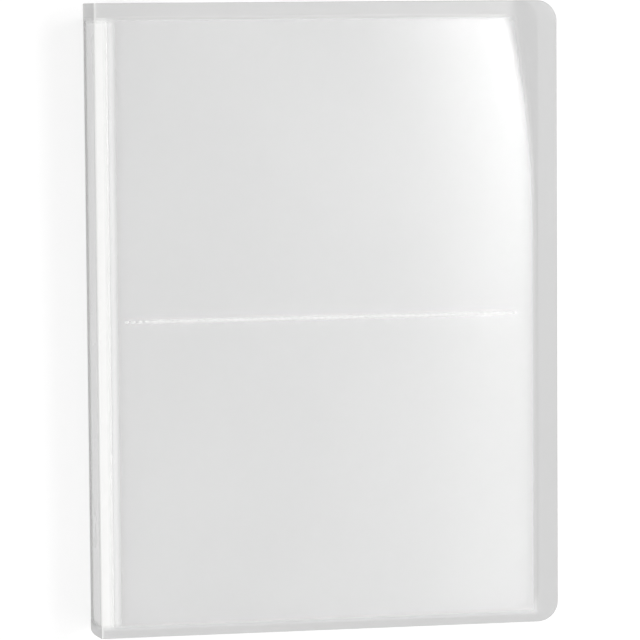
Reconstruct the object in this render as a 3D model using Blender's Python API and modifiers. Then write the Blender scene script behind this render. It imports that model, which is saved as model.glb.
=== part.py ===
"""Closed pocket display book in a translucent wrap cover, lying on its back cover.

Metres, +Z up, +Y towards the head of the book, -X towards the spine.
The origin is the centre of the footprint, on the surface that the book lies on.

One sheet makes the whole cover on the real book, scored along two lines that
act as living hinges.  Here it is three panels that meet at those two lines,
with mitred edges so that each can fold.  The spine bows out a little between
the lines.  Inside it a grooved binding strip carries the pocket leaves, and
each leaf turns about its own groove.
"""

import math

import bmesh
import bpy
from mathutils import Matrix, Vector

# ---------------------------------------------------------------------------
# Driving dimensions
# ---------------------------------------------------------------------------

# Cover sheet
COVER_HEIGHT = 0.226        # head to foot
COVER_WIDTH = 0.168         # hinge line to the fore-edge
COVER_SHEET = 0.0008        # thickness of the cover sheet
COVER_CORNER = 0.0075       # radius of the two fore-edge corners
SHEET_EDGE_BREAK = 0.0001   # softened edge of the die-cut sheet
SPINE_BOW = 0.0014          # how far the spine bows out past its hinge lines

# Clearances
HINGE_CLEARANCE = 0.0003    # from a hinge line to each sheet that meets it
SEAT_GAP = 0.0003           # between pieces that lie against each other

# Leaves: a base film with a shorter pocket film welded on top
LEAF_COUNT = 24
LEAF_SPACING = 0.00048      # free space between neighbouring leaves
LEAF_FILM = 0.00015         # thickness of each film
POCKET_DEPTH = 0.0003       # room for a print inside a pocket
HEAD_MARGIN = 0.0052        # leaf to the head edge of the cover
FOOT_MARGIN = 0.0030        # leaf to the foot edge of the cover
FORE_MARGIN = 0.0075        # leaf to the fore-edge of the cover
LEAF_CORNER = 0.0020        # radius of the leaf's fore-edge corners
TIER_COUNT = 2              # pockets, one above the other
MOUTH_SETBACK = 0.0047      # root of the leaf to the mouth of its pockets
WELD_FLANGE = 0.0010        # flat welded border outside the pockets
WELD_LINE = 0.0006          # pressed line of the weld between two tiers
WELD_WALL = 0.0003          # film that comes down beside a weld

# Binding strip
BINDING_DEPTH = 0.0039      # from the cover sheet at a hinge line to the leaves
GROOVE_WIDTH = 0.0007       # V groove that each leaf turns in
GROOVE_DEPTH = 0.00035

# Facets of round corners and of the bowed spine
CORNER_SEGMENTS = 10
LEAF_CORNER_SEGMENTS = 3
SPINE_SEGMENTS = 16

# ---------------------------------------------------------------------------
# Dimensions that follow
# ---------------------------------------------------------------------------

LEAF_THICKNESS = 2 * LEAF_FILM + POCKET_DEPTH
LEAF_PITCH = LEAF_THICKNESS + LEAF_SPACING
BOOK_THICKNESS = 2 * COVER_SHEET + LEAF_COUNT * LEAF_PITCH + LEAF_SPACING

# Depths, measured from the plane of the two hinge lines towards the fore-edge
BINDING_FRONT = COVER_SHEET + SEAT_GAP + BINDING_DEPTH
LEAF_ROOT = BINDING_FRONT + SEAT_GAP
LEAF_WIDTH = COVER_WIDTH - FORE_MARGIN - LEAF_ROOT
HINGE_X = SPINE_BOW - (COVER_WIDTH + SPINE_BOW) / 2

SPINE_RADIUS = ((BOOK_THICKNESS / 2) ** 2 + SPINE_BOW ** 2) / (2 * SPINE_BOW)
LEAF_HEIGHT = COVER_HEIGHT - HEAD_MARGIN - FOOT_MARGIN
LEAF_CENTRE_Y = (FOOT_MARGIN - HEAD_MARGIN) / 2
FIRST_LEAF_Z = COVER_SHEET + LEAF_SPACING + LEAF_FILM / 2

TIER_SEAM = WELD_LINE + 2 * WELD_WALL
POCKET_BORDER = WELD_FLANGE + WELD_WALL
POCKET_HEIGHT = (LEAF_HEIGHT - 2 * POCKET_BORDER - (TIER_COUNT - 1) * TIER_SEAM) / TIER_COUNT
CUT_OVERRUN = 0.001         # how far a cutter runs past the face that it opens
WELD_DISTANCE = 1e-6        # points closer than this are one point
SHARP_ANGLE = math.radians(30)
# Turns a drawing in X and Y into one in X and Z
STAND_UP = Matrix(((1, 0, 0, 0), (0, 0, -1, 0), (0, 1, 0, 0), (0, 0, 0, 1)))


# ---------------------------------------------------------------------------
# Helpers
# ---------------------------------------------------------------------------

def clear_scene():
    for obj in list(bpy.data.objects):
        bpy.data.objects.remove(obj, do_unlink=True)


def new_collection(name):
    collection = bpy.data.collections.new(name)
    bpy.context.scene.collection.children.link(collection)
    return collection


def plastic(name, colour, roughness, alpha):
    """A Principled material for one kind of translucent sheet."""
    material = bpy.data.materials.new(name)
    material.use_nodes = True
    shader = material.node_tree.nodes["Principled BSDF"]
    shader.inputs["Base Color"].default_value = (*colour, 1.0)
    shader.inputs["Roughness"].default_value = roughness
    shader.inputs["Metallic"].default_value = 0.0
    shader.inputs["Alpha"].default_value = alpha
    return material


def hinge_axis(name, location, parent=None):
    """An empty on a hinge line, which carries what turns about it."""
    empty = bpy.data.objects.new(name, None)
    empty.empty_display_size = COVER_CORNER
    place(empty, location, parent)
    BOOK.objects.link(empty)
    return empty


def place(obj, location, parent=None):
    """Put an object at a world place and hang it on a parent."""
    obj.matrix_world = Matrix.Translation(location)
    if parent is not None:
        obj.parent = parent
        obj.matrix_parent_inverse = parent.matrix_world.inverted()


def box(name, low, high, collection, material=None):
    """A box between two corners, given in the object's own axes."""
    low = Vector(low)
    high = Vector(high)
    shape = Matrix.Translation((low + high) / 2) @ Matrix.Diagonal((*(high - low), 1.0))
    bm = bmesh.new()
    bmesh.ops.create_cube(bm, size=1.0, matrix=shape)
    mesh = bpy.data.meshes.new(name)
    bm.to_mesh(mesh)
    bm.free()
    obj = bpy.data.objects.new(name, mesh)
    collection.objects.link(obj)
    if material is not None:
        mesh.materials.append(material)
    return obj


def round_upright_edges(obj, beyond_x, radius, segments):
    """Round the corners of a flat box whose upright edges lie past beyond_x."""
    mesh = obj.data
    weights = mesh.attributes.new("bevel_weight_edge", "FLOAT", "EDGE")
    for edge in mesh.edges:
        start, end = (mesh.vertices[index].co for index in edge.vertices)
        upright = (start.xy - end.xy).length < SHEET_EDGE_BREAK
        if upright and start.x > beyond_x:
            weights.data[edge.index].value = 1.0
    bevel = obj.modifiers.new("Round corners", "BEVEL")
    bevel.limit_method = "WEIGHT"
    bevel.width = radius
    bevel.segments = segments
    return bevel


def soften_edges(obj, width):
    """Break the sharp edges that die-cutting leaves."""
    bevel = obj.modifiers.new("Edge break", "BEVEL")
    bevel.limit_method = "ANGLE"
    bevel.width = width
    bevel.segments = 1


def cut(obj, low, high, label):
    """Take a box out of an object with a Boolean."""
    cutter = box(label, low, high, CUTTERS)
    cutter.matrix_world = obj.matrix_world
    cutter.hide_render = True
    cutter.display_type = "WIRE"
    boolean = obj.modifiers.new(label, "BOOLEAN")
    boolean.operation = "DIFFERENCE"
    boolean.object = cutter


def evaluated_mesh(obj, name):
    """The mesh of an object with its modifiers applied."""
    bpy.context.view_layer.update()
    depsgraph = bpy.context.evaluated_depsgraph_get()
    mesh = bpy.data.meshes.new_from_object(obj.evaluated_get(depsgraph))
    mesh.name = name
    return mesh


# ---------------------------------------------------------------------------
# Cover
# ---------------------------------------------------------------------------

def cover_panel(name, inner_side, location, parent, material):
    """A front or back panel, mitred along the hinge line at its own origin.

    inner_side is -1 where the sheet lies below the hinge line (front cover)
    and +1 where it lies above it (back cover).
    """
    half = COVER_HEIGHT / 2
    low = (HINGE_CLEARANCE, -half, min(0.0, inner_side * COVER_SHEET))
    high = (COVER_WIDTH, half, max(0.0, inner_side * COVER_SHEET))
    panel = box(name, low, high, BOOK, material)
    for vertex in panel.data.vertices:
        on_inner_face = abs(vertex.co.z) > COVER_SHEET / 2
        at_hinge = vertex.co.x < COVER_WIDTH / 2
        if on_inner_face and at_hinge:
            vertex.co.x += COVER_SHEET
    round_upright_edges(panel, COVER_WIDTH / 2, COVER_CORNER, CORNER_SEGMENTS)
    soften_edges(panel, SHEET_EDGE_BREAK)
    place(panel, location, parent)
    return panel


def bowed_line(inset, low, high):
    """Points of a line that follows the bowed spine, inset from its outer face.

    They run from the height low to the height high, as depth and height.
    """
    radius = SPINE_RADIUS - inset
    middle = BOOK_THICKNESS / 2
    start = math.asin((low - middle) / radius)
    end = math.asin((high - middle) / radius)
    points = []
    for step in range(SPINE_SEGMENTS + 1):
        angle = start + (end - start) * step / SPINE_SEGMENTS
        depth = SPINE_RADIUS - SPINE_BOW - radius * math.cos(angle)
        points.append((depth, middle + radius * math.sin(angle)))
    return points


def extruded_profile(name, outline, length, material):
    """A solid with its outline in depth and height, extruded head to foot."""
    curve = bpy.data.curves.new(name, "CURVE")
    curve.dimensions = "2D"
    curve.fill_mode = "BOTH"
    curve.extrude = length / 2
    spline = curve.splines.new("POLY")
    spline.points.add(len(outline) - 1)
    for point, (depth, height) in zip(spline.points, outline):
        point.co = (depth, height, 0.0, 1.0)
    spline.use_cyclic_u = True
    drawing = bpy.data.objects.new(name + "_outline", curve)
    BOOK.objects.link(drawing)
    mesh = evaluated_mesh(drawing, name)
    bpy.data.objects.remove(drawing, do_unlink=True)

    # The outline was drawn flat: weld its caps and stand it up on the spine.
    bm = bmesh.new()
    bm.from_mesh(mesh)
    bmesh.ops.remove_doubles(bm, verts=bm.verts, dist=WELD_DISTANCE)
    bmesh.ops.transform(bm, matrix=STAND_UP, verts=bm.verts)
    bmesh.ops.recalc_face_normals(bm, faces=bm.faces)
    bm.to_mesh(mesh)
    bm.free()
    mesh.materials.append(material)
    solid = bpy.data.objects.new(name, mesh)
    BOOK.objects.link(solid)
    return solid


def spine_panel(parent, material):
    """The bowed strip of sheet between the hinge lines, mitred on both edges."""
    outer_end = HINGE_CLEARANCE
    inner_end = HINGE_CLEARANCE + COVER_SHEET
    outer = bowed_line(0.0, outer_end, BOOK_THICKNESS - outer_end)
    inner = bowed_line(COVER_SHEET, inner_end, BOOK_THICKNESS - inner_end)
    panel = extruded_profile("spine_panel", outer + inner[::-1], COVER_HEIGHT, material)
    panel.data.shade_smooth()
    panel.data.set_sharp_from_angle(angle=SHARP_ANGLE)
    place(panel, (HINGE_X, 0.0, 0.0), parent)
    return panel


# ---------------------------------------------------------------------------
# Binding strip
# ---------------------------------------------------------------------------

def leaf_height(index):
    """World height of the base film's middle, counted from the back cover."""
    return FIRST_LEAF_Z + index * LEAF_PITCH


def binding_profile():
    """Outline of the strip seen along the spine: depth and height.

    The back follows the bowed spine and the front has a V groove for each leaf.
    """
    bottom = COVER_SHEET + SEAT_GAP
    top = BOOK_THICKNESS - bottom
    outline = bowed_line(COVER_SHEET + SEAT_GAP, bottom, top)[::-1]
    outline.append((BINDING_FRONT, bottom))
    for index in range(LEAF_COUNT):
        middle = leaf_height(index)
        if middle - GROOVE_WIDTH / 2 > bottom:
            outline.append((BINDING_FRONT, middle - GROOVE_WIDTH / 2))
        outline.append((BINDING_FRONT - GROOVE_DEPTH, middle))
        outline.append((BINDING_FRONT, middle + GROOVE_WIDTH / 2))
    outline.append((BINDING_FRONT, top))
    return outline


def binding_strip(parent, material):
    """The welded strip inside the spine."""
    strip = extruded_profile("binding_strip", binding_profile(), LEAF_HEIGHT, material)
    place(strip, (HINGE_X, LEAF_CENTRE_Y, 0.0), parent)
    return strip


# ---------------------------------------------------------------------------
# Pocket leaves
# ---------------------------------------------------------------------------

def leaf_mesh(material):
    """One welded leaf, with its origin on the line that it turns about.

    It starts as a full-thickness blank.  The space above the bare root, the
    pockets, the flat welded border and the pressed line between two tiers are
    then taken out of it.
    """
    half = LEAF_HEIGHT / 2
    base = -LEAF_FILM / 2
    base_top = base + LEAF_FILM
    flange_top = base + 2 * LEAF_FILM
    pocket_top = base_top + POCKET_DEPTH
    top = base + LEAF_THICKNESS
    blank = box("leaf_blank", (0.0, -half, base), (LEAF_WIDTH, half, top), BOOK, material)
    round_upright_edges(blank, LEAF_WIDTH / 2, LEAF_CORNER, LEAF_CORNER_SEGMENTS)

    past = CUT_OVERRUN
    cut(blank, (-past, -half - past, base_top),
        (MOUTH_SETBACK, half + past, top + past), "cut_root")
    for side, label in ((1, "cut_head_flange"), (-1, "cut_foot_flange")):
        edges = sorted((side * (half - WELD_FLANGE), side * (half + past)))
        cut(blank, (-past, edges[0], flange_top),
            (LEAF_WIDTH + past, edges[1], top + past), label)
    cut(blank, (LEAF_WIDTH - WELD_FLANGE, -half - past, flange_top),
        (LEAF_WIDTH + past, half + past, top + past), "cut_fore_flange")

    for tier in range(TIER_COUNT):
        foot = -half + POCKET_BORDER + tier * (POCKET_HEIGHT + TIER_SEAM)
        cut(blank, (MOUTH_SETBACK - past, foot, base_top),
            (LEAF_WIDTH - POCKET_BORDER, foot + POCKET_HEIGHT, pocket_top),
            f"cut_pocket_{tier + 1}")
        if tier > 0:
            cut(blank, (MOUTH_SETBACK - past, foot - TIER_SEAM + WELD_WALL, flange_top),
                (LEAF_WIDTH - WELD_FLANGE, foot - WELD_WALL, top + past),
                f"cut_weld_line_{tier}")

    mesh = evaluated_mesh(blank, "pocket_leaf")
    bpy.data.objects.remove(blank, do_unlink=True)
    return mesh


def pocket_leaves(parent, material):
    """Every leaf, numbered from the front cover down to the back cover."""
    mesh = leaf_mesh(material)
    for number in range(1, LEAF_COUNT + 1):
        leaf = bpy.data.objects.new(f"leaf_{number:02d}", mesh)
        BOOK.objects.link(leaf)
        height = leaf_height(LEAF_COUNT - number)
        place(leaf, (HINGE_X + LEAF_ROOT, LEAF_CENTRE_Y, height), parent)


# ---------------------------------------------------------------------------
# The book
# ---------------------------------------------------------------------------

clear_scene()
BOOK = new_collection("pocket_display_book")
CUTTERS = new_collection("cutters")

cover_plastic = plastic("frosted_cover_sheet", (0.86, 0.86, 0.855), 0.32, 0.55)
binding_plastic = plastic("white_binding", (0.93, 0.93, 0.925), 0.45, 1.0)
film_plastic = plastic("clear_pocket_film", (0.93, 0.935, 0.94), 0.15, 0.30)

back_line = hinge_axis("spine_hinge_line", (HINGE_X, 0.0, 0.0))
front_line = hinge_axis("front_hinge_line", (HINGE_X, 0.0, BOOK_THICKNESS), back_line)

cover_panel("back_cover", 1, (HINGE_X, 0.0, 0.0), None, cover_plastic)
spine_panel(back_line, cover_plastic)
cover_panel("front_cover", -1, (HINGE_X, 0.0, BOOK_THICKNESS), front_line, cover_plastic)
binding_strip(back_line, binding_plastic)
pocket_leaves(back_line, film_plastic)
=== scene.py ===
# %% [markdown]
# # A pocket display book in a translucent cover
# The book in the picture is a fixed-leaf display book: a sheet of frosted plastic is
# folded twice round a stack of clear pocket leaves. The imported model gives every solid
# and every joint in metres. This lesson loads it as a fixed frame and builds the fine
# pieces round it: thin sheets with softened edges and pressed creases, and welded films.

# %% Load the frame
import math
import random

import bmesh
import bpy
import numpy as np
from mathutils import Matrix, Vector


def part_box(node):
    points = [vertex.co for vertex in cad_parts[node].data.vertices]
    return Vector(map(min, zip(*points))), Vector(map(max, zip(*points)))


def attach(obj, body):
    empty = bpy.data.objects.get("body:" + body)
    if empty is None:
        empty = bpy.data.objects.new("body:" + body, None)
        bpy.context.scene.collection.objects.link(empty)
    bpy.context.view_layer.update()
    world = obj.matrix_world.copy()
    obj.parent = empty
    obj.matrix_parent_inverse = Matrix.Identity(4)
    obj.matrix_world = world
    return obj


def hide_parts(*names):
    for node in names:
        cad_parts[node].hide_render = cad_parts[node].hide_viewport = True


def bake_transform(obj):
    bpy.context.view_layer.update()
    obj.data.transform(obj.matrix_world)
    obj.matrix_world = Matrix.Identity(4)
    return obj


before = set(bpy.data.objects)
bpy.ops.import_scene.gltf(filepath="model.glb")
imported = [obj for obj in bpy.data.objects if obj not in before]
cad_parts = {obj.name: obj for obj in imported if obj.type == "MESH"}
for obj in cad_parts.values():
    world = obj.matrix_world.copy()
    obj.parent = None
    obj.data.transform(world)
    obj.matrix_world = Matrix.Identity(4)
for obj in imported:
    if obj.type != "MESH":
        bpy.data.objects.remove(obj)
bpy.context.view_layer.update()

# %% [markdown]
# # Measure the solids
# A visual piece has to lie where its solid lies. Sizes could be typed in again, but a
# typed number drifts away from the model as soon as the model changes.

# %% Measure the solids
front_low, front_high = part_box("front_cover")
spine_low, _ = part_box("spine_panel")
_, strip_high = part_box("binding_strip")
leaf_low, leaf_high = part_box("leaf_01")
last_low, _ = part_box("leaf_24")
LEAF_NAMES = sorted(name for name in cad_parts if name.startswith("leaf_"))
LEAF_COUNT = len(LEAF_NAMES)

MM = 0.001
BOOK_TOP = front_high.z
SHEET = front_high.z - front_low.z  # thickness of the cover sheet
HALF_HEIGHT = front_high.y
FORE_EDGE = front_high.x
HINGE_GAP = 0.3 * MM  # from the hinge line to the panel
HINGE_X = front_low.x - HINGE_GAP
LEAF_PITCH = (leaf_low.z - last_low.z) / (LEAF_COUNT - 1)
LEAF_WIDTH = leaf_high.x - leaf_low.x
LEAF_MIDDLE = (leaf_high.y + leaf_low.y) / 2
LEAF_HALF = (leaf_high.y - leaf_low.y) / 2
print(f"sheet {SHEET / MM:.2f} mm, {LEAF_COUNT} leaves every {LEAF_PITCH / MM:.2f} mm")

# %% [markdown]
# # Nodes without clutter
# Every finish below is a small node tree. Writing `nodes.new` and `links.new` for each
# node is long, so one helper adds a node, sets its properties, and joins or fills its
# inputs: a socket is joined, and anything else becomes the socket's own value. Short
# helpers on top of it name the nodes that are used most.

# %% Helpers for nodes
def add_node(tree, kind, inputs=None, **properties):
    node = tree.nodes.new(kind)
    for name, value in properties.items():
        setattr(node, name, value)
    for key, value in (inputs or {}).items():
        if isinstance(value, bpy.types.NodeSocket):
            tree.links.new(value, node.inputs[key])
        else:
            node.inputs[key].default_value = value
    return node


def calc(tree, operation, *values):
    """The result of a Math node."""
    return add_node(tree, "ShaderNodeMath", dict(enumerate(values)),
                    operation=operation).outputs[0]


def map_range(tree, value, low, high):
    """A value from 0 to 1, spread from low to high."""
    return add_node(tree, "ShaderNodeMapRange",
                    {"Value": value, "To Min": low, "To Max": high}).outputs["Result"]


def point_value(tree, label):
    """A number that is stored on the points of the mesh."""
    return add_node(tree, "ShaderNodeAttribute", attribute_name=label).outputs["Fac"]


def new_material(name):
    """A material with its tree and its Principled shader."""
    material = bpy.data.materials.new(name)
    material.use_nodes = True
    return material, material.node_tree, material.node_tree.nodes["Principled BSDF"]


def new_group(name, inputs, outputs):
    """A shader node group with named inputs and outputs: (name, kind, default)."""
    tree = bpy.data.node_groups.new(name, "ShaderNodeTree")
    for label, kind, default in inputs:
        socket = tree.interface.new_socket(label, in_out="INPUT", socket_type=kind)
        socket.default_value = default
    for label, kind in outputs:
        tree.interface.new_socket(label, in_out="OUTPUT", socket_type=kind)
    return tree, tree.nodes.new("NodeGroupInput"), tree.nodes.new("NodeGroupOutput")

# %% [markdown]
# # Satin grain and handling marks
# Extruded polypropylene isn't evenly dull. It has a very fine grain, slow cloudy changes
# from the roller, and faint rubbed marks from other books. An image could show that, but
# noise follows the object at any size. One group makes the marks once, and each plastic
# places it with its own amounts.

# %% The plastic marks group
RUB_SCALE = (900.0, 14.0, 900.0)  # long marks from head to foot
RUB_FROM, RUB_TO = 0.68, 0.85  # only the peaks of the noise are marks
RUB_ROUGHNESS = 0.06
RUB_HEIGHT = 0.3
marks_tree, marks_in, marks_out = new_group(
    "plastic_marks",
    [("Colour", "NodeSocketColor", (0.9, 0.9, 0.9, 1.0)),
     ("Roughness", "NodeSocketFloat", 0.3),
     ("Grain scale", "NodeSocketFloat", 2500.0),
     ("Cloud scale", "NodeSocketFloat", 18.0),
     ("Colour change", "NodeSocketFloat", 0.02),
     ("Roughness change", "NodeSocketFloat", 0.08)],
    [("Colour", "NodeSocketColor"), ("Roughness", "NodeSocketFloat"),
     ("Height", "NodeSocketFloat"), ("Cloud", "NodeSocketFloat")])
where = add_node(marks_tree, "ShaderNodeTexCoord").outputs["Object"]
grain = add_node(marks_tree, "ShaderNodeTexNoise",
                 {"Vector": where, "Scale": marks_in.outputs["Grain scale"], "Detail": 2.0})
cloud = add_node(marks_tree, "ShaderNodeTexNoise",
                 {"Vector": where, "Scale": marks_in.outputs["Cloud scale"], "Detail": 3.0})
stretch = add_node(marks_tree, "ShaderNodeMapping", {"Vector": where, "Scale": RUB_SCALE})
rubbed = add_node(marks_tree, "ShaderNodeTexNoise",
                  {"Vector": stretch.outputs["Vector"], "Scale": 1.0, "Detail": 2.0})
thin = add_node(marks_tree, "ShaderNodeMapRange",
                {"Value": rubbed.outputs["Fac"], "From Min": RUB_FROM,
                 "From Max": RUB_TO}).outputs["Result"]
centred = calc(marks_tree, "SUBTRACT", cloud.outputs["Fac"], 0.5)
shade = calc(marks_tree, "MULTIPLY_ADD", centred, marks_in.outputs["Colour change"], 1.0)
tinted = add_node(marks_tree, "ShaderNodeVectorMath",
                  {0: marks_in.outputs["Colour"], "Scale": shade}, operation="SCALE")
clouded = calc(marks_tree, "MULTIPLY_ADD", centred, marks_in.outputs["Roughness change"],
               marks_in.outputs["Roughness"])
for label, socket in (
        ("Colour", tinted.outputs[0]),
        ("Roughness", calc(marks_tree, "MULTIPLY_ADD", thin, RUB_ROUGHNESS, clouded)),
        ("Height", calc(marks_tree, "MULTIPLY_ADD", thin, RUB_HEIGHT, grain.outputs["Fac"])),
        ("Cloud", cloud.outputs["Fac"])):
    marks_tree.links.new(socket, marks_out.inputs[label])
print("marks group:", len(marks_tree.nodes), "nodes")

# %% [markdown]
# # A plastic with those marks
# All the plastics of the book share one layout: the group gives colour, roughness and a
# very small bump, and the Principled shader keeps its own plain numbers for the rest.

# %% A helper for marked plastics
BUMP_STRENGTH = 0.12


def marked_plastic(name, colour, roughness, bump_distance, **amounts):
    material, tree, shader = new_material(name)
    marks = add_node(tree, "ShaderNodeGroup", node_tree=marks_tree)
    marks.inputs["Colour"].default_value = (*colour, 1.0)
    marks.inputs["Roughness"].default_value = roughness
    for label, value in amounts.items():
        marks.inputs[label.replace("_", " ").capitalize()].default_value = value
    bump = add_node(tree, "ShaderNodeBump",
                    {"Height": marks.outputs["Height"], "Strength": BUMP_STRENGTH,
                     "Distance": bump_distance})
    tree.links.new(marks.outputs["Colour"], shader.inputs["Base Color"])
    tree.links.new(marks.outputs["Roughness"], shader.inputs["Roughness"])
    tree.links.new(bump.outputs["Normal"], shader.inputs["Normal"])
    return material, tree, shader, marks

# %% [markdown]
# # The frosted cover sheet
# The cover is milky but not opaque. Rough glass would show that too, but a lamp can't be
# sampled through glass, so the leaves under it would be dark and noisy. Here the sheet
# hides a fixed share of what lies under it, by Alpha, on each of its two faces. Shadow
# rays pass more easily, because light that is scattered in the sheet still arrives.
# Attributes on the points say where the sheet differs: one is whitening where folding
# whitened it or the white strip lies close behind it, and part of that is a painted
# highlight; `free` is where no leaf lies behind it and it looks denser; and one is painted
# shade, which makes that margin a darker grey at the fore-edge and the foot.

# %% The frosted cover material
COVER_COLOUR = (0.72, 0.72, 0.718)
COVER_HAZE = 0.14  # of one face; the sheet hides about 0.26
FREE_HAZE = 0.65  # of one face, where no leaf lies behind
HAZE_LEAST, HAZE_MOST = 0.94, 1.06  # the haze is slightly cloudy
SHADOW_SHARE = 0.15  # how much of the haze a shadow ray meets
# painted shade: a darker grey on the margins at the fore-edge and the foot
PAINTED_SHADE_COLOUR = (0.61, 0.61, 0.61, 1.0)
# whitening of the crease and of the sheet over the strip, partly a painted highlight
STRESS_AND_HIGHLIGHT_COLOUR = (1.0, 1.0, 0.99, 1.0)

cover_frost, tree, shader, marks = marked_plastic(
    "cover_frost", COVER_COLOUR, 0.30, 0.00002, grain_scale=1800.0)
cover_haze = map_range(tree, point_value(tree, "free"), COVER_HAZE, FREE_HAZE)
uneven = map_range(tree, marks.outputs["Cloud"], HAZE_LEAST, HAZE_MOST)
stress_and_highlight = point_value(tree, "stress_and_highlight")
whiter = calc(tree, "MAXIMUM", calc(tree, "MULTIPLY", cover_haze, uneven), stress_and_highlight)
shadow = add_node(tree, "ShaderNodeLightPath").outputs["Is Shadow Ray"]
lighter = calc(tree, "MULTIPLY_ADD", shadow, SHADOW_SHARE - 1.0, 1.0)
tree.links.new(calc(tree, "MULTIPLY", whiter, lighter), shader.inputs["Alpha"])
# painted shade on the margins, then whitening with a painted highlight over it
painted_shade_mix = add_node(tree, "ShaderNodeMix", {0: point_value(tree, "painted_shade"),
                  6: marks.outputs["Colour"], 7: PAINTED_SHADE_COLOUR}, data_type="RGBA")
# whitening of the crease and over the strip, partly a painted highlight
whitened = add_node(tree, "ShaderNodeMix", {0: stress_and_highlight, 6: painted_shade_mix.outputs[2],
                    7: STRESS_AND_HIGHLIGHT_COLOUR}, data_type="RGBA")
tree.links.new(whitened.outputs[2], shader.inputs["Base Color"])
print("cover_frost:", len(tree.nodes), "nodes")

# %% [markdown]
# # The clear pocket film
# One film is nearly invisible, but a stack of twenty-four leaves is a hundred surfaces
# deep, and together they look white. Each film therefore hides only a little. A film is
# crossed so often by one ray that its tree stays short: one slow noise for all of it, and
# only the outer side of a face counts, so that a film's own back adds nothing. One
# attribute makes it denser and whiter where it is welded and at its root, where that white
# is partly a painted highlight, and one called `fade` thins it where it curls away from
# the cover and would look blurred.

# %% The pocket film material
FILM_HAZE = 0.22
FILM_WHITE = 0.74
FILM_IOR = 1.9  # a stack of films shines more than one


def face_outwards(tree, alpha):
    """Alpha on faces seen from outside, and nothing on faces seen from within."""
    back = add_node(tree, "ShaderNodeNewGeometry").outputs["Backfacing"]
    return calc(tree, "MULTIPLY", calc(tree, "SUBTRACT", 1.0, back), alpha)


film_clear, tree, shader = new_material("film_clear")
shader.inputs["IOR"].default_value = FILM_IOR
shader.inputs["Specular IOR Level"].default_value = 1.0
where = add_node(tree, "ShaderNodeTexCoord").outputs["Object"]
slow = add_node(tree, "ShaderNodeTexNoise",
                {"Vector": where, "Scale": 22.0, "Detail": 0.0}).outputs["Fac"]
milk_and_highlight = point_value(tree, "milk_and_highlight")
tree.links.new(map_range(tree, slow, 0.26, 0.34), shader.inputs["Roughness"])
# the white of the welds is their own; at the root it is partly a painted highlight
tree.links.new(map_range(tree, milk_and_highlight, FILM_WHITE, 0.98), shader.inputs["Base Color"])
haze = map_range(tree, slow, FILM_HAZE * 0.9, FILM_HAZE * 1.1)
thinned = calc(tree, "MULTIPLY", haze, point_value(tree, "fade"))
dense = calc(tree, "MAXIMUM", thinned, milk_and_highlight)
tree.links.new(face_outwards(tree, dense), shader.inputs["Alpha"])
print("film_clear:", len(tree.nodes), "nodes")

# %% [markdown]
# # Welds and binding
# A weld squeezes two films into one thicker, whiter ridge. The binding strip is solid
# white plastic. Both reuse the marks, and the weld has a coarser grain.

# %% Weld and binding materials
weld_white, tree, shader, marks = marked_plastic(
    "weld_white", (1.0, 1.0, 1.0), 0.25, 0.00001, grain_scale=1500.0)
clouded = map_range(tree, marks.outputs["Cloud"], 0.8, 1.0)
tree.links.new(calc(tree, "MULTIPLY", clouded, point_value(tree, "fade")),
               shader.inputs["Alpha"])
shader.inputs["IOR"].default_value = FILM_IOR
shader.inputs["Specular IOR Level"].default_value = 1.0

binding_white, _, shader, _ = marked_plastic(
    "binding_white", (0.98, 0.98, 0.98), 0.28, 0.00003)
shader.inputs["Specular IOR Level"].default_value = 1.0
shader.inputs["IOR"].default_value = 1.75
shader.inputs["Coat Weight"].default_value = 0.6
shader.inputs["Coat Roughness"].default_value = 0.18
print("materials:", [material.name for material in bpy.data.materials])

# %% [markdown]
# # From points to a finished piece
# Every piece ends the same way: a mesh made of points and faces, smooth shading broken
# only at real edges, and its material.

# %% Helpers for finished pieces
MERGE = 0.0001 * MM


def add_object(name, data):
    thing = bpy.data.objects.new(name, data)
    bpy.context.scene.collection.objects.link(thing)
    return thing


def plain(points):
    return [tuple(float(v) for v in point) for point in points]


def make_object(name, points, faces, material, smooth_angle=35.0):
    mesh = bpy.data.meshes.new(name)
    mesh.from_pydata(plain(points), [], faces)
    mesh.validate()
    mesh.shade_smooth()
    mesh.set_sharp_from_angle(angle=math.radians(smooth_angle))
    mesh.materials.append(material)
    piece = add_object(name, mesh)
    return piece


def count_faces(piece):
    return len(piece.data.polygons)


def store(mesh, label, values):
    """A number for each point, which a material reads as an attribute."""
    attribute = mesh.attributes.new(label, "FLOAT", "POINT")
    attribute.data.foreach_set("value", np.asarray(values, np.float32))


def outward(piece):
    """Merge doubles, then turn every face outwards."""
    bm = bmesh.new()
    bm.from_mesh(piece.data)
    bmesh.ops.remove_doubles(bm, verts=bm.verts, dist=MERGE)
    bmesh.ops.recalc_face_normals(bm, faces=bm.faces)
    bm.to_mesh(piece.data)
    bm.free()


def smooth(share):
    """A soft step from 0 to 1."""
    share = np.clip(share, 0.0, 1.0)
    return share * share * (3 - 2 * share)

# %% [markdown]
# # The line that the cover follows
# Seen from the head, the cover is one sheet: it bows round the spine, turns tightly at
# the pressed crease and runs flat to the fore-edge. The bow is a circle, and the crease
# is a small circle that touches both the bow and the flat, so nothing kinks.

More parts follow.
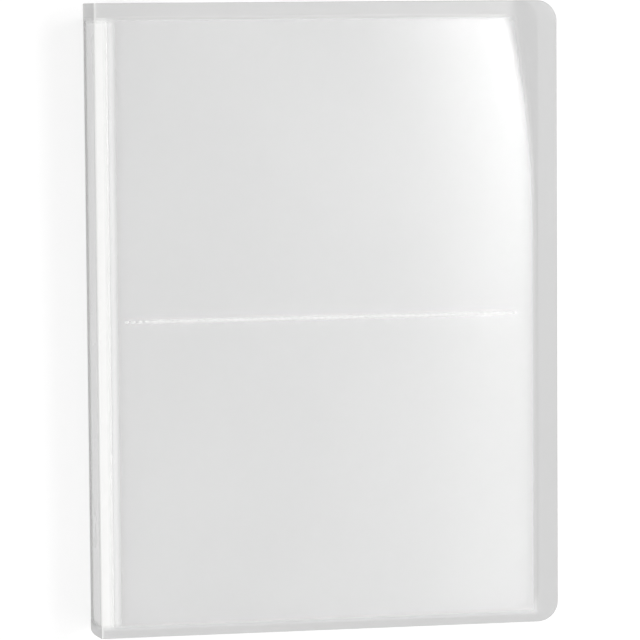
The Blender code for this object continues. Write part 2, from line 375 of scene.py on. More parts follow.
# %% The cover line
bow = HINGE_X - spine_low.x
half_thick = BOOK_TOP / 2
BOW_RADIUS = (half_thick ** 2 + bow ** 2) / (2 * bow)
BOW_CENTRE_X = spine_low.x + BOW_RADIUS
CREASE_RADIUS = 0.9 * MM
crease_z = half_thick - CREASE_RADIUS  # height above the middle of the book
crease_x = BOW_CENTRE_X - math.sqrt((BOW_RADIUS - CREASE_RADIUS) ** 2 - crease_z ** 2)
CREASE_ANGLE = math.atan2(crease_z, BOW_CENTRE_X - crease_x)
SEAM_RUN = 0.45 * MM  # from the crease back to the spine's own sheet
SEAM_ANGLE = CREASE_ANGLE - SEAM_RUN / BOW_RADIUS
print(f"bow radius {BOW_RADIUS / MM:.1f} mm, crease at {math.degrees(CREASE_ANGLE):.1f} deg")


def bow_point(angle, depth):
    """A point of the bowed spine, with its height counted from the middle."""
    reach = BOW_RADIUS - depth
    return BOW_CENTRE_X - reach * math.cos(angle), reach * math.sin(angle)


def crease_point(turn, depth):
    """A point of the crease: turn is the angle from the spine side, upwards."""
    reach = CREASE_RADIUS - depth
    return crease_x - reach * math.cos(turn), crease_z + reach * math.sin(turn)

# %% [markdown]
# # A thin sheet with soft edges
# A die-cut sheet isn't a box: its rim is slightly rounded, and light collects there. The
# sheet is made as rings. Each ring is the outline moved inwards a little while it goes
# down through the thickness, and the inmost rings are filled by a grid from head to foot.

# %% Rings and rows of a sheet
EDGE_RADIUS = 0.20 * MM
EDGE_STEPS = 4
ROW_LINES = 10  # plain rows between the two ends of a leaf

# Rows from head to foot as shares of the half height, close together at each leaf end
EDGE_LINES = [leaf_high.y + 0.5 * MM, leaf_high.y - 0.8 * MM, leaf_high.y - 2 * MM,
              *np.linspace(leaf_high.y - 15 * MM, leaf_low.y + 15 * MM, ROW_LINES),
              leaf_low.y + 2 * MM, leaf_low.y + 0.8 * MM, leaf_low.y - 0.5 * MM]
HEIGHT_SHARES = [1.0, *[float(y / HALF_HEIGHT) for y in EDGE_LINES], -1.0]


def edge_rings():
    """(inset, face, drop) of each ring, from the outer face (0) down to the inner one (1)."""
    rounding = []
    for step in range(EDGE_STEPS + 1):
        angle = math.pi / 2 * step / EDGE_STEPS
        rounding.append((EDGE_RADIUS * (1 - math.sin(angle)),
                         EDGE_RADIUS * (1 - math.cos(angle))))
    outer = [(inset, 0, drop) for inset, drop in rounding]
    return outer + [(inset, 1, -drop) for inset, drop in rounding[::-1]]


def sheet_rings(stations, flip):
    """Points of the rings; each station gives inset -> (y, place(depth), thickness)."""
    points, rings = [], []
    for inset, face, drop in edge_rings():
        ring = []
        for station in stations:
            y, place, thick = station(inset)
            x, z = place(face * thick + drop)
            first = len(points)
            points += [(x, y * share, flip * z + half_thick) for share in HEIGHT_SHARES]
            ring.append(list(range(first, len(points))))
        rings.append(ring)
    return points, rings


print("sheet:", len(edge_rings()), "rings,", len(HEIGHT_SHARES), "rows from head to foot")

# %% Faces of a sheet
def quads(row_a, row_b, row_c, row_d):
    return list(zip(row_a, row_b, row_c, row_d))


def sheet_faces(rings, closed_end):
    """Both faces of the sheet, its rounded rim, and an end cap at each open end."""
    top, bottom = rings[0], rings[-1]
    faces = []
    for first, second in zip(top, top[1:]):
        faces += quads(first, second, second[1:], first[1:])
    for first, second in zip(bottom, bottom[1:]):
        faces += quads(first, first[1:], second[1:], second)

    def rims(ring):
        """The free edges of one ring, and the order in which each is walked."""
        head = [row[0] for row in ring]
        foot = [row[-1] for row in ring]
        if closed_end:
            return [(head + ring[-1][1:-1] + foot[::-1], 1)]
        return [(head, 1), (foot, -1)]

    for upper, lower in zip(rings, rings[1:]):
        for (rim_a, order), (rim_b, _) in zip(rims(upper), rims(lower)):
            faces += [face[::order] for face in quads(rim_a, rim_b, rim_b[1:], rim_a[1:])]
    for end, order in [(0, 1)] if closed_end else [(0, 1), (-1, -1)]:
        loop = list(top[end])
        loop += [ring[end][-1] for ring in rings[1:-1]]
        loop += bottom[end][::-1]
        loop += [ring[end][0] for ring in rings[1:-1]][::-1]
        faces.append(tuple(loop)[::order])
    return faces


def build_sheet(name, stations, flip, closed_end, material):
    """A sheet without the points inside its middle rings, which no face uses."""
    points, rings = sheet_rings(stations, flip)
    faces = sheet_faces(rings, closed_end)
    used = sorted({index for face in faces for index in face})
    renumber = {old: new for new, old in enumerate(used)}
    points = [points[old] for old in used]
    faces = [tuple(renumber[index] for index in face) for face in faces]
    piece = make_object(name, points, faces, material)
    outward(piece)
    mark_sheet(piece)
    return piece

# %% [markdown]
# # Where the sheet looks different
# Folding whitens the crease, and the white strip shines through where it lies close
# behind the sheet; part of that white is a painted highlight, along one line of the crease
# and over the strip. Beyond the leaves nothing lies behind, so the margin looks denser, and
# at the fore-edge and the foot its colour is a darker grey: painted shade of the gap
# between the covers. The curled leaves draw back from the head corner, and the margin
# follows them there. All of it is stored on the points, so it moves with the cover.

# %% Marks on the points of a sheet
# The crease and the sheet over the strip are whitened; part of it is a painted highlight.
CREASE_REACH = 1.3 * MM  # how far from the crease it is whitened
STRESS_AND_HIGHLIGHT_TURN = math.radians(58)  # middle of the whitened line
STRESS_AND_HIGHLIGHT_SPREAD = math.radians(26)
CREASE_WHITE_AND_HIGHLIGHT, CONTACT_WHITE_AND_HIGHLIGHT = 0.85, 0.80
CONTACT, CONTACT_RUN = 2.0 * MM, 2.5 * MM  # where the strip whitens the sheet
CURL_REACH = 72 * MM  # how far the leaf's curl runs down
CURL_INSET = 7.5 * MM  # how far it reaches in at the head
CURL_POWER = 1.6
SIDE_BEFORE, SIDE_RUN = 3.2 * MM, 4.2 * MM  # the margin begins inside the leaf's edge
END_BEFORE, END_RUN = 2.0 * MM, 2.5 * MM  # the same at the head and the foot


def mark_sheet(piece):
    """Painted highlight and whitening, free margin and painted shade, from 0 to 1."""
    points = np.empty(len(piece.data.vertices) * 3)
    piece.data.vertices.foreach_get("co", points)
    x, y, z = points.reshape(-1, 3).T
    above_crease = np.abs(z - half_thick) - crease_z
    away = np.hypot(x - crease_x, above_crease)
    turn = np.arctan2(above_crease, crease_x - x)
    crease = np.exp(-((turn - STRESS_AND_HIGHLIGHT_TURN) / STRESS_AND_HIGHLIGHT_SPREAD) ** 2)
    crease *= (away < CREASE_REACH) & (turn > 0)
    up = np.clip((y - leaf_high.y + CURL_REACH) / CURL_REACH, 0, 1) * (z > half_thick)
    curled = CURL_INSET * up ** CURL_POWER
    beside = smooth((x - leaf_high.x + SIDE_BEFORE + curled) / SIDE_RUN)
    below = smooth((leaf_low.y - y + END_BEFORE) / END_RUN)
    above = smooth((y - leaf_high.y + END_BEFORE) / END_RUN)
    # painted shade: a darker grey at the fore-edge and foot margins
    painted_shade = np.maximum(beside, below)
    contact = 1 - smooth((x - crease_x - CONTACT) / CONTACT_RUN)
    contact *= (1 - above) * (1 - below) * (above_crease > 0)
    # whitening of the crease and over the strip, partly a painted highlight
    white = np.maximum(CREASE_WHITE_AND_HIGHLIGHT * crease, CONTACT_WHITE_AND_HIGHLIGHT * contact)
    for label, values in (("stress_and_highlight", white), ("free", np.maximum(painted_shade, above)), ("painted_shade", painted_shade)):
        store(piece.data, label, values)

# %% [markdown]
# # The three sheets of the cover
# The front and back sheets carry the pressed crease, and the bowed spine lies between
# them. Along the crease the sheet is pressed thinner, which is what makes a living
# hinge bend there and nowhere else.

# %% Stations of the panels
CORNER = 7.5 * MM
CORNER_STEPS = 16
PRESSED = 0.45 * MM  # thickness along the crease
CREASE_STEPS = 10
RECOVERY = ((0.35, 0.55), (0.7, 0.75), (1.0, 1.0))  # mm past the crease, share regained
FLAT_STEPS = 14
FORE_STEPS = 10  # closer lines, where the margin changes
SPINE_STEPS = 24


def panel_stations():
    """From the seam over the crease and along the flat, then round the corner."""
    stations = []

    def add(place, thick):
        stations.append(lambda inset: (HALF_HEIGHT - inset, place, thick))

    for share in (0.0, 0.5):
        angle = SEAM_ANGLE + (CREASE_ANGLE - SEAM_ANGLE) * share
        thick = SHEET + (PRESSED - SHEET) * share
        add(lambda depth, angle=angle: bow_point(angle, depth), thick)
    for step in range(CREASE_STEPS + 1):
        turn = CREASE_ANGLE + (math.pi / 2 - CREASE_ANGLE) * step / CREASE_STEPS
        add(lambda depth, turn=turn: crease_point(turn, depth), PRESSED)
    flat_end = FORE_EDGE - CORNER
    for run, share in RECOVERY:
        x = crease_x + run * MM
        add(lambda depth, x=x: (x, half_thick - depth), PRESSED + (SHEET - PRESSED) * share)
    for x in (crease_x + CONTACT, crease_x + 2.8 * MM, crease_x + 4.3 * MM,
              *np.linspace(crease_x + 7 * MM, flat_end - 14 * MM, FLAT_STEPS),
              *np.linspace(flat_end - 11 * MM, flat_end, FORE_STEPS)):
        add(lambda depth, x=float(x): (x, half_thick - depth), SHEET)

    def corner_station(angle):
        def station(inset):
            reach = CORNER - inset
            x = flat_end + reach * math.sin(angle)
            y = HALF_HEIGHT - CORNER + reach * math.cos(angle)
            return y, (lambda depth: (x, half_thick - depth)), SHEET
        return station

    for step in range(1, CORNER_STEPS + 1):
        stations.append(corner_station(math.pi / 2 * step / CORNER_STEPS))
    return stations


def spine_stations():
    """From one seam to the other, round the bow."""
    stations = []
    for step in range(SPINE_STEPS + 1):
        angle = -SEAM_ANGLE + 2 * SEAM_ANGLE * step / SPINE_STEPS
        stations.append(lambda inset, angle=angle: (
            HALF_HEIGHT - inset, (lambda depth: bow_point(angle, depth)), SHEET))
    return stations


print("stations:", len(panel_stations()), "on a panel,", len(spine_stations()), "on the spine")

# %% Make the cover
front_sheet = build_sheet("front_cover_sheet", panel_stations(), 1, True, cover_frost)
back_sheet = build_sheet("back_cover_sheet", panel_stations(), -1, True, cover_frost)
spine_sheet = build_sheet("spine_sheet", spine_stations(), 1, False, cover_frost)
for piece in (front_sheet, back_sheet, spine_sheet):
    print(piece.name, count_faces(piece), "faces")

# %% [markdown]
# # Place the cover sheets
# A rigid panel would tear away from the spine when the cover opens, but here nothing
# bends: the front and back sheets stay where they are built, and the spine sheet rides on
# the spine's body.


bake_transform(front_sheet)
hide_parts("front_cover")
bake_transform(back_sheet)
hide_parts("back_cover")
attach(spine_sheet, "spine")
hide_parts("spine_panel")

# %% [markdown]
# # How the leaves lie
# Clear films never lie quite flat. Towards the fore-edge they sag on the air between
# them, and at the free upper corner they curl away from the cover, which is why that
# corner looks soft through the frosted sheet. All leaves share the sag, and each one
# lower down has a little less of it, so that none cuts its neighbour.

# %% The sag of a leaf
EDGE_SAG = 2.2 * MM
EDGE_RUN = 55 * MM
CURL_DEPTH = 2.2 * MM
CURL_START = CURL_INSET + 7 * MM  # the film bends before it looks free
CURL_RUN = 10 * MM
CURL_MOST = 1.5  # beyond this many runs it bends no more


def curl_rise(y):
    """0 below the curl, rising to 1 at the head of the leaf."""
    return np.clip((y - (LEAF_HALF - CURL_REACH)) / CURL_REACH, 0, 1)


def past_curl(x, y, inset):
    """Distance past a slanting line that lies this far in at the head."""
    return x - LEAF_WIDTH + inset * curl_rise(y) ** CURL_POWER


def sag(x, y):
    """Depth of the first leaf below its flat place; x from the root, y from the middle."""
    edge = EDGE_SAG * np.clip((x - (LEAF_WIDTH - EDGE_RUN)) / EDGE_RUN, 0, 1) ** 2
    beyond = np.clip(past_curl(x, y, CURL_START) / CURL_RUN, 0, CURL_MOST)
    return edge + CURL_DEPTH * beyond ** 2 * smooth(curl_rise(y) * 2)


print(f"sag at the head corner: {sag(LEAF_WIDTH, LEAF_HALF) / MM:.1f} mm")

# %% [markdown]
# # A welded leaf
# A leaf is a base film with a shorter film welded on top. The top film rises off the
# base between the welds, like a very flat cushion, and gapes a little at the mouths,
# which face the spine. Each film is a closed slab with a grid that is fine near the
# welds and coarse elsewhere.

# %% Measures of a leaf
FILM = 0.15 * MM
MOUTH = 4.7 * MM  # root of the leaf to the mouths
ROOT_TUCK = 0.45 * MM  # how far the root reaches into its groove
POCKET_RISE, RISE_RUN = 0.14 * MM, 2.6 * MM  # the cushion between the welds
FUSED = 0.97  # the films touch, and sink in a little
LEAF_CORNER = 2.0 * MM
WELD_INSET = 0.9 * MM  # weld line to the edge of the leaf
TIER_Y = -LEAF_MIDDLE  # the weld between the tiers, as in the photo
TIER_HALF = 0.3 * MM
FLANGE = 1.6 * MM  # flat rim outside the pockets
ROUNDING = 7  # decimals of a metre
SQUEEZED = LEAF_WIDTH - 8 * MM  # lines beyond it follow the rounded corners


def ticks(*spans):
    """Grid lines from (start, stop, steps) spans, each once."""
    lines = np.concatenate([np.linspace(a, b, n + 1) for a, b, n in spans])
    return np.unique(np.round(lines, ROUNDING))


bending = LEAF_WIDTH - 36 * MM  # where the sag calls for closer lines
columns_base = ticks((-ROOT_TUCK, 0, 2), (0, MOUTH, 7), (MOUTH, bending, 10),
                     (bending, SQUEEZED, 8), (SQUEEZED, LEAF_WIDTH, 6))
columns_top = columns_base[columns_base >= round(MOUTH, ROUNDING)]


def half_rows(reach):
    """Distances from the middle weld to one end of the leaf."""
    return ticks((0, 2 * MM, 4), (2 * MM, 20 * MM, 3), (20 * MM, reach - 30 * MM, 5),
                 (reach - 30 * MM, reach - 3 * MM, 6), (reach - 3 * MM, reach, 4))


rows = np.concatenate([TIER_Y - half_rows(LEAF_HALF + TIER_Y),
                       TIER_Y + half_rows(LEAF_HALF - TIER_Y)])
rows = np.unique(np.round(rows, ROUNDING))
print("leaf grid:", len(columns_base), "x", len(rows))


def corner_limit(y):
    """How far the leaf reaches at a height, with its rounded fore-edge corners."""
    past = np.clip(np.abs(y) - (LEAF_HALF - LEAF_CORNER), 0, LEAF_CORNER)
    return LEAF_WIDTH - LEAF_CORNER + np.sqrt(LEAF_CORNER ** 2 - past ** 2)


def leaf_grid(columns):
    """x and y of the grid points, squeezed in at the rounded corners."""
    x, y = np.meshgrid(columns, rows)
    room = (corner_limit(y) - SQUEEZED) / (LEAF_WIDTH - SQUEEZED)
    x = np.where(x > SQUEEZED, SQUEEZED + (x - SQUEEZED) * room, x)
    return x, y

# %% [markdown]
# # The height of each film
# Every leaf starts from its own flat place in the stack. The shared sag lowers it, a slow
# wave of its own keeps the stack from looking like a copied row, and the pocket film
# adds the rise between its welds.

# %% Films of a leaf
WAVES = ((0.035, 60), (0.02, 27))  # height and length of each wave, in mm
WAVE_FREE = 20 * MM  # the binding holds the leaf flat before this


def wave(x, y, number):
    """Slow unevenness of one leaf, different for each."""
    rng = random.Random(number)
    total = np.zeros_like(x)
    for amount, length in WAVES:
        angle = rng.uniform(0, math.tau)
        phase = rng.uniform(0, math.tau)
        along = (x * math.cos(angle) + y * math.sin(angle)) / (length * MM)
        total += amount * MM * np.sin(math.tau * along + phase)
    return total * smooth(x / WAVE_FREE)


def weld_distance(x, y):
    """Distance to the nearest weld line."""
    fore = LEAF_WIDTH - FLANGE - x
    ends = LEAF_HALF - FLANGE - np.abs(y)
    tier = np.abs(y - TIER_Y) - TIER_HALF
    return np.clip(np.minimum(np.minimum(fore, ends), tier), 0, None)


def slab(x, y, bottom, top):
    """Points and faces of a closed slab over a grid."""
    height, width = x.shape
    upper = np.stack([x, y, top], -1).reshape(-1, 3)
    lower = np.stack([x, y, bottom], -1).reshape(-1, 3)
    index = np.arange(height * width).reshape(height, width)
    a, b = index[:-1, :-1].ravel(), index[:-1, 1:].ravel()
    c, d = index[1:, 1:].ravel(), index[1:, :-1].ravel()
    faces = list(zip(a, b, c, d))
    shift = height * width
    faces += list(zip(a + shift, d + shift, c + shift, b + shift))
    rim = np.concatenate([index[0, :-1], index[:-1, -1], index[-1, :0:-1], index[:0:-1, 0]])
    following = np.roll(rim, -1)
    faces += list(zip(rim + shift, following + shift, following, rim))
    return np.concatenate([upper, lower]), [tuple(int(v) for v in face) for face in faces]


def leaf_share(number):
    """1 for the first leaf, which sags most, down to 0 for the last."""
    return 1 - (number - 1) / (LEAF_COUNT - 1)


def base_height(x, y, number):
    """Height of the underside of a leaf's base film."""
    low = leaf_low.z - (number - 1) * LEAF_PITCH
    return low - sag(x, y) * leaf_share(number) + wave(x, y, number)


def pocket_height(x, y, number):
    """Height of the underside of the pocket film."""
    rise = POCKET_RISE * (1 - np.exp(-weld_distance(x, y) / RISE_RUN))
    return base_height(x, y, number) + FUSED * FILM + rise


print(f"height of leaf 1: {leaf_low.z / MM:.1f} mm at its root, "
      f"{base_height(LEAF_WIDTH, LEAF_HALF, 1) / MM:.1f} mm at its curled corner")

# %% [markdown]
# # Milky roots and welds
# Where the films run into the binding they are heated and turn white, and the white
# fades out over a few millimetres. That white root also stands as a painted highlight,
# where the films bend into the binding. Along the welds a fainter line of it lies between
# the pearls. Both are stored on the points in one attribute, which the film material
# reads, and `fade` thins the curled corner.

# %% Milk and fade on the points
# the white of the root is heat whitening and partly a painted highlight
ROOT_MILK_AND_HIGHLIGHT, TIER_MILK = 0.9, 0.95
EDGE_WELD = 0.25  # how white the welds at the edges look
MILK_LINE = 1.0 * MM  # from the middle of a weld to clear film
MILK_FULL = 0.3 * MM  # the root is fully white up to here
MILK_RUN = 3.0 * MM
FADE_START = CURL_INSET + 1 * MM
FADE_BEFORE, FADE_RUN = 5 * MM, 9 * MM
FADE_MOST = 0.98
TIER_BEGIN, BEGIN_RUN = 0.8 * MM, 2.2 * MM  # how the middle weld starts at the mouths
TIER_STOP, STOP_RUN = 2 * MM, 14 * MM  # and fades out before the fore-edge


def corner_fade(x, y):
    """1 over the leaf, falling to almost nothing at the tip of the curled upper corner."""
    across = smooth((past_curl(x, y, FADE_START) + FADE_BEFORE) / FADE_RUN)
    return 1 - FADE_MOST * across * smooth(curl_rise(y) * 3)


def tier_strength(x):
    """Strength of the weld between the tiers, which fades out before the fore-edge."""
    start = smooth((x - MOUTH + TIER_BEGIN) / BEGIN_RUN)
    return start * smooth((LEAF_WIDTH - TIER_STOP - x) / STOP_RUN)


def weld_milk(x, y):
    """The faint white line of each weld, between its pearls."""
    fore = np.abs(x - (LEAF_WIDTH - WELD_INSET))
    ends = np.abs(np.abs(y) - (LEAF_HALF - WELD_INSET))
    edge = EDGE_WELD * np.clip(1 - np.minimum(fore, ends) / MILK_LINE, 0, 1)
    tier = TIER_MILK * np.clip(1 - np.abs(y - TIER_Y) / MILK_LINE, 0, 1) * tier_strength(x)
    return np.maximum(edge * corner_fade(x, y), tier) * (x > MOUTH)


def milk_at(x, y):
    """White of the root, partly a painted highlight, or of a weld, whichever is stronger."""
    root = ROOT_MILK_AND_HIGHLIGHT * (1 - smooth((x - MILK_FULL) / MILK_RUN))
    return np.maximum(root, weld_milk(x, y))

# %% Make the leaves
ROOT_X = leaf_low.x


def make_leaf(number):
    points, faces, milk_values, fade_values = [], [], [], []
    for columns, height in ((columns_base, base_height), (columns_top, pocket_height)):
        x, y = leaf_grid(columns)
        bottom = height(x, y, number)
        film_points, film_faces = slab(x, y, bottom, bottom + FILM)
        shift = len(points)
        x, y = film_points[:, :2].T
        milk_values += list(milk_at(x, y))
        fade_values += list(corner_fade(x, y))
        film_points[:, 0] += ROOT_X
        film_points[:, 1] += LEAF_MIDDLE
        points += list(film_points)
        faces += [tuple(index + shift for index in face) for face in film_faces]
    piece = make_object(f"leaf_{number:02d}_film", points, faces, film_clear)
    store(piece.data, "milk_and_highlight", milk_values)
    store(piece.data, "fade", fade_values)
    return piece


leaf_films = [make_leaf(number) for number in range(1, LEAF_COUNT + 1)]
print(len(leaf_films), "leaves of", count_faces(leaf_films[0]), "faces")

# %% [markdown]
# # Pearl welds
# The welding bar has a knurled edge, so every weld is a row of small raised pearls on a
# pressed line. A row that follows a path is work for Geometry Nodes: the path is
# resampled at the pitch of the knurl, one low pearl is placed on each point and turned
# along the path, and the result is realised into one mesh for each leaf.

# %% The pearl row tree
PEARL = {"Pitch": 2.4 * MM, "Length": 1.8 * MM, "Width": 1.0 * MM, "Height": 0.22 * MM}


def pearl_row_tree():
    """The tree, and the identifier of each input that a modifier sets."""
    tree = bpy.data.node_groups.new("pearl_row", "GeometryNodeTree")
    tree.interface.new_socket("Path", in_out="INPUT", socket_type="NodeSocketGeometry")
    identifiers = {}
    for label, size in PEARL.items():
        socket = tree.interface.new_socket(label, in_out="INPUT",
                                           socket_type="NodeSocketFloat")
        socket.default_value = size
        identifiers[label] = socket.identifier
    identifiers["Material"] = tree.interface.new_socket(
        "Material", in_out="INPUT", socket_type="NodeSocketMaterial").identifier
    tree.interface.new_socket("Row", in_out="OUTPUT", socket_type="NodeSocketGeometry")
    inlet = tree.nodes.new("NodeGroupInput")
    outlet = tree.nodes.new("NodeGroupOutput")
    curve = add_node(tree, "GeometryNodeMeshToCurve", {"Mesh": inlet.outputs["Path"]})
    row = add_node(tree, "GeometryNodeResampleCurve",
                   {"Curve": curve.outputs[0], "Length": inlet.outputs["Pitch"]},
                   mode="LENGTH")
    tangent = add_node(tree, "GeometryNodeInputTangent")
    turned = add_node(tree, "FunctionNodeAlignRotationToVector",
                      {"Vector": tangent.outputs[0]}, axis="X", pivot_axis="Z")
    pearl = add_node(tree, "GeometryNodeMeshUVSphere",
                     {"Segments": 8, "Rings": 4, "Radius": 0.5})
    size = add_node(tree, "ShaderNodeCombineXYZ",
                    {"X": inlet.outputs["Length"], "Y": inlet.outputs["Width"],
                     "Z": inlet.outputs["Height"]})
    placed = add_node(tree, "GeometryNodeInstanceOnPoints",
                      {"Points": row.outputs[0], "Instance": pearl.outputs["Mesh"],
                       "Rotation": turned.outputs[0], "Scale": size.outputs[0]})
    real = add_node(tree, "GeometryNodeRealizeInstances", {"Geometry": placed.outputs[0]})
    painted = add_node(tree, "GeometryNodeSetMaterial",
                       {"Geometry": real.outputs[0], "Material": inlet.outputs["Material"]})
    smooth_faces = add_node(tree, "GeometryNodeSetShadeSmooth",
                            {"Geometry": painted.outputs[0]})
    tree.links.new(smooth_faces.outputs[0], outlet.inputs[0])
    return tree, identifiers


pearl_tree, PEARL_INPUTS = pearl_row_tree()
print("pearl tree:", len(pearl_tree.nodes), "nodes")

# %% [markdown]
# # Where the welds run
# One weld runs round the head, the fore-edge and the foot, and one crosses the leaf
# between its pockets. They lie on the pocket film, and each leaf sags differently, so
# each gets a mesh of its own.

# %% Weld paths of a leaf
PATH_ACROSS, PATH_DOWN = 60, 80  # points of a path, enough to follow the sag
PATH_CORNER = 2 * MM  # the path cuts the corners


def weld_paths():
    """Weld lines as (x, y) from the root and the middle of a leaf."""
    fore = LEAF_WIDTH - WELD_INSET
    end = LEAF_HALF - WELD_INSET
    across = np.linspace(MOUTH + 1 * MM, fore - PATH_CORNER, PATH_ACROSS)
    down = np.linspace(end - PATH_CORNER, -end + PATH_CORNER, PATH_DOWN)
    around = [(x, end) for x in across]
    around += [(fore, y) for y in down]
    around += [(x, -end) for x in across[::-1]]
    between = np.linspace(MOUTH + 0.6 * MM, fore - 1.5 * MM, PATH_ACROSS)
    return [around, [(x, TIER_Y) for x in between]]


def path_mesh(number):
    points, edges = [], []
    for path in weld_paths():
        x, y = np.array(path).T
        z = base_height(x, y, number) + (1 + FUSED) * FILM
        shift = len(points)
        points += list(zip(x + ROOT_X, y + LEAF_MIDDLE, z))
        edges += [(shift + i, shift + i + 1) for i in range(len(path) - 1)]
    mesh = bpy.data.meshes.new("weld_path")
    mesh.from_pydata(plain(points), edges, [])
    return mesh


def make_pearls(number):
    """The pearls of one leaf, as a plain mesh."""
    path = add_object(f"weld_path_{number:02d}", path_mesh(number))
    modifier = path.modifiers.new("Pearls", "NODES")
    modifier.node_group = pearl_tree
    for label, size in PEARL.items():
        modifier[PEARL_INPUTS[label]] = size
    modifier[PEARL_INPUTS["Material"]] = weld_white
    bpy.context.view_layer.update()
    evaluated = path.evaluated_get(bpy.context.evaluated_depsgraph_get())
    mesh = bpy.data.meshes.new_from_object(evaluated)
    path.modifiers.remove(modifier)
    bpy.data.objects.remove(path, do_unlink=True)
    mesh.name = f"leaf_{number:02d}_weld"
    points = np.empty(len(mesh.vertices) * 3)
    mesh.vertices.foreach_get("co", points)
    x, y = points.reshape(-1, 3).T[:2] - np.array([[ROOT_X], [LEAF_MIDDLE]])
    on_tier = (np.abs(y - TIER_Y) < PEARL["Width"]) & (x < LEAF_WIDTH - 2 * WELD_INSET)
    store(mesh, "fade", np.where(on_tier, tier_strength(x), EDGE_WELD * corner_fade(x, y)))
    piece = add_object(mesh.name, mesh)
    return piece


leaf_welds = [make_pearls(number) for number in range(1, LEAF_COUNT + 1)]
print(len(leaf_welds), "weld meshes of", count_faces(leaf_welds[0]), "faces")

# %% [markdown]
# # Place the leaves and their pearls
# The leaf is held by its root, so it can't turn like a door: its first millimetres bend.
# Here the film stays where it is built, and the pearls, which start beyond the root, ride
# on the leaf's body.

# %% Place the leaves
for name, film, weld in zip(LEAF_NAMES, leaf_films, leaf_welds):
    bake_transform(film)
    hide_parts(name)
    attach(weld, name)
    # A film casts no shadow worth its cost: the covers and the strip cast the book's
    film.visible_shadow = False
    weld.visible_shadow = False
print("leaves bend over", round(0.8 * MOUTH / MM, 2), "mm")

# %% [markdown]
# # The binding strip
# The roots of all the leaves are fused into one white strip. Its front has a groove for
# each leaf, its back is fluted where the folded films show as ribs through the spine,
# and its long corners are round, so a lamp draws a bright line down it. A section that
# only changes with height can be laid out as a ladder: one rung for each height.

# %% Make the binding strip
STRIP_TOP = strip_high.z - half_thick
STRIP_FRONT = strip_high.x
STRIP_INSET = SHEET + 0.3 * MM  # from the outer face of the spine
STRIP_CORNER = 1.8 * MM
LIP_RADIUS = 0.5 * MM
GROOVE_HALF = 0.35 * MM
FLUTE = 0.14 * MM
RUNGS_PER_LEAF = 10
SPARE_RUNGS = 40  # above the first leaf and below the last
RUNG_GAP = 0.02 * MM  # no rung closer than this to either end
FIRST_LEAF = leaf_low.z + FILM / 2 - half_thick


def round_off(z, radius):
    """How far a corner of this radius steps back at a height."""
    past = np.clip(np.abs(z) - (STRIP_TOP - radius), 0, radius)
    return radius - np.sqrt(radius ** 2 - past ** 2)


def leaf_phase(z):
    """Distance in height from the nearest leaf."""
    steps = np.clip(np.round((FIRST_LEAF - z) / LEAF_PITCH), 0, LEAF_COUNT - 1)
    return z - (FIRST_LEAF - steps * LEAF_PITCH)


def strip_section(z):
    """Back and front of the strip at each height."""
    away = leaf_phase(z)
    groove = np.clip(GROOVE_HALF - np.abs(away), 0, None)
    front = STRIP_FRONT - groove - round_off(z, LIP_RADIUS)
    reach = BOW_RADIUS - STRIP_INSET
    back = BOW_CENTRE_X - np.sqrt(reach ** 2 - z ** 2)
    back = back + FLUTE * (0.5 - 0.5 * np.cos(math.tau * away / LEAF_PITCH))
    return back + round_off(z, STRIP_CORNER), front


def make_strip():
    """A ladder of rungs along both ends of the strip, joined into a closed bar."""
    step = LEAF_PITCH / RUNGS_PER_LEAF
    rungs = np.arange(-SPARE_RUNGS, LEAF_COUNT * RUNGS_PER_LEAF + SPARE_RUNGS)
    middle = FIRST_LEAF - step * rungs
    middle = middle[np.abs(middle) < STRIP_TOP - RUNG_GAP]
    z = np.unique(np.round(np.concatenate([[-STRIP_TOP], middle, [STRIP_TOP]]), 8))
    back, front = strip_section(z)
    count = len(z)
    points = []
    for y in (leaf_low.y, leaf_high.y):
        points += list(zip(back, np.full(count, y), z + half_thick))
        points += list(zip(front, np.full(count, y), z + half_thick))
    faces = []
    for i in range(count - 1):
        b0, f0, b1, f1 = i, count + i, 2 * count + i, 3 * count + i
        faces += [(b0, b0 + 1, f0 + 1, f0), (b1, f1, f1 + 1, b1 + 1),
                  (b0, b1, b1 + 1, b0 + 1), (f0, f0 + 1, f1 + 1, f1)]
    last = count - 1
    faces += [(0, count, 3 * count, 2 * count),
              (last, 2 * count + last, 3 * count + last, count + last)]
    piece = make_object("binding_ribs", points, faces, binding_white,
                        smooth_angle=50.0)
    outward(piece)
    return piece


strip = make_strip()
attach(strip, "spine")
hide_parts("binding_strip")
print("binding strip:", count_faces(strip), "faces")

# %% [markdown]
# # The floor
# The picture shows the book against pure white. The floor is grey and lit like the book,
# so that it can take a soft shadow, and a lift that only camera, glossy and transmission
# rays see takes it to white without more light on the object.

# %% The floor
FLOOR_HALF = 4.0
FLOOR_GREY = 0.50
FLOOR_LIFT = 0.57
FLOOR_Z = -0.05 * MM  # the back cover isn't in the floor's own plane
floor_mesh = bpy.data.meshes.new("floor")
floor_mesh.from_pydata([(x * FLOOR_HALF, y * FLOOR_HALF, FLOOR_Z)
                        for x, y in ((-1, -1), (1, -1), (1, 1), (-1, 1))],
                       [], [(0, 1, 2, 3)])
floor = add_object("floor", floor_mesh)
floor_pale, tree, shader = new_material("floor_pale")
shader.inputs["Base Color"].default_value = (FLOOR_GREY, FLOOR_GREY, FLOOR_GREY, 1.0)
shader.inputs["Roughness"].default_value = 0.9
shader.inputs["Specular IOR Level"].default_value = 0.0
shader.inputs["Emission Color"].default_value = (1.0, 1.0, 1.0, 1.0)


def seen_directly(tree):
    """1 for camera, glossy and transmission rays, else 0."""
    path = add_node(tree, "ShaderNodeLightPath").outputs
    first = calc(tree, "MAXIMUM", path["Is Camera Ray"], path["Is Glossy Ray"])
    return calc(tree, "MAXIMUM", first, path["Is Transmission Ray"])


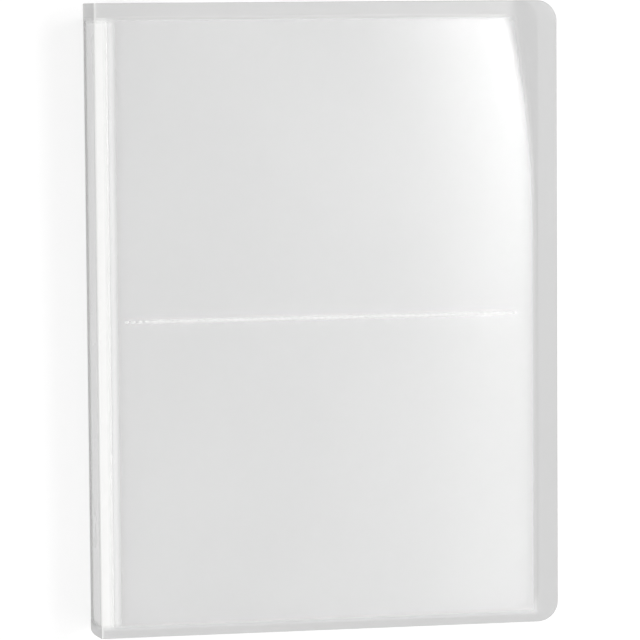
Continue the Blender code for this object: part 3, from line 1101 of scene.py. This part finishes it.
lift = calc(tree, "MULTIPLY", seen_directly(tree), FLOOR_LIFT)
tree.links.new(lift, shader.inputs["Emission Strength"])
floor_mesh.materials.append(floor_pale)
print(f"floor {2 * FLOOR_HALF:.0f} m wide, grey {FLOOR_GREY}, lift {FLOOR_LIFT}")

# %% [markdown]
# # World and lamps
# Plain, large, soft lamps suit a glossy pale object: a small one would draw a hard spot.
# The key hangs on the fore-edge side near the head, a weaker lamp near the foot, and the
# fill faces them from the spine side. Their powers were fitted to the tones of the
# picture, and the world gives an even level.

# %% World and lamps
WORLD_LEVEL = 0.44
world = bpy.data.worlds.new("studio")
bpy.context.scene.world = world
world.use_nodes = True
tree = world.node_tree
ambient = tree.nodes["Background"]
ambient.inputs["Color"].default_value = (1.0, 1.0, 1.0, 1.0)
ambient.inputs["Strength"].default_value = WORLD_LEVEL
white = add_node(tree, "ShaderNodeBackground", {"Color": (1, 1, 1, 1), "Strength": 1.0})
path = add_node(tree, "ShaderNodeLightPath")
choice = add_node(tree, "ShaderNodeMixShader", {0: path.outputs["Is Camera Ray"],
                  1: ambient.outputs[0], 2: white.outputs[0]})
tree.links.new(choice.outputs[0], tree.nodes["World Output"].inputs["Surface"])


def soft_box(name, place, size, power):
    """A rectangular lamp that looks at the middle of the floor."""
    lamp = bpy.data.lights.new(name, "AREA")
    lamp.shape = "RECTANGLE"
    lamp.size, lamp.size_y = size
    lamp.energy = power
    holder = add_object(name, lamp)
    turn = (-Vector(place)).to_track_quat("-Z", "Y")
    holder.matrix_world = Matrix.Translation(place) @ turn.to_matrix().to_4x4()
    print(f"{name}: {power} W, {Vector(place).length:.2f} m away")


soft_box("key", (0.52, 0.22, 0.92), (0.40, 0.36), 2.9)
soft_box("low_key", (0.55, -0.25, 0.92), (0.40, 0.50), 1.3)
soft_box("fill", (-0.62, -0.22, 0.82), (0.5, 0.8), 3.9)

# %% [markdown]
# # The camera
# The picture was taken from almost straight above, slightly from the spine side. The
# place, the lens and the three directions of the camera, which become the columns of its
# matrix, were fitted to the corners of the cover in the picture.

# %% The camera
lens = bpy.data.cameras.new("camera")
lens.lens = 209.38
lens.sensor_width = 36.0
lens.clip_end = 20.0
camera = add_object("camera", lens)
right = Vector((0.98102, -0.00774, 0.19374))
up = Vector((0.02385, 0.99643, -0.08094))
backward = Vector((-0.19243, 0.08402, 0.97771))
axes = Matrix((right, up, backward)).transposed().to_4x4()
camera.matrix_world = Matrix.Translation((-0.2597, 0.1114, 1.3320)) @ axes
bpy.context.scene.camera = camera
print(f"lens {lens.lens:.0f} mm, {camera.matrix_world.translation.length:.2f} m away")

# %% [markdown]
# # Depth of the stack
# A ray that enters the cover can cross a hundred film faces before it reaches the floor.
# Alpha lets a ray through without a bounce, but each face still counts, so their limit
# is raised well above the number in the stack.

# %% Render settings that the sheets need
scene = bpy.context.scene
scene.view_settings.view_transform = "Standard"
scene.cycles.use_denoising = True
scene.cycles.max_bounces = 24
scene.cycles.transparent_max_bounces = 160
print("transparent faces per ray:", scene.cycles.transparent_max_bounces)
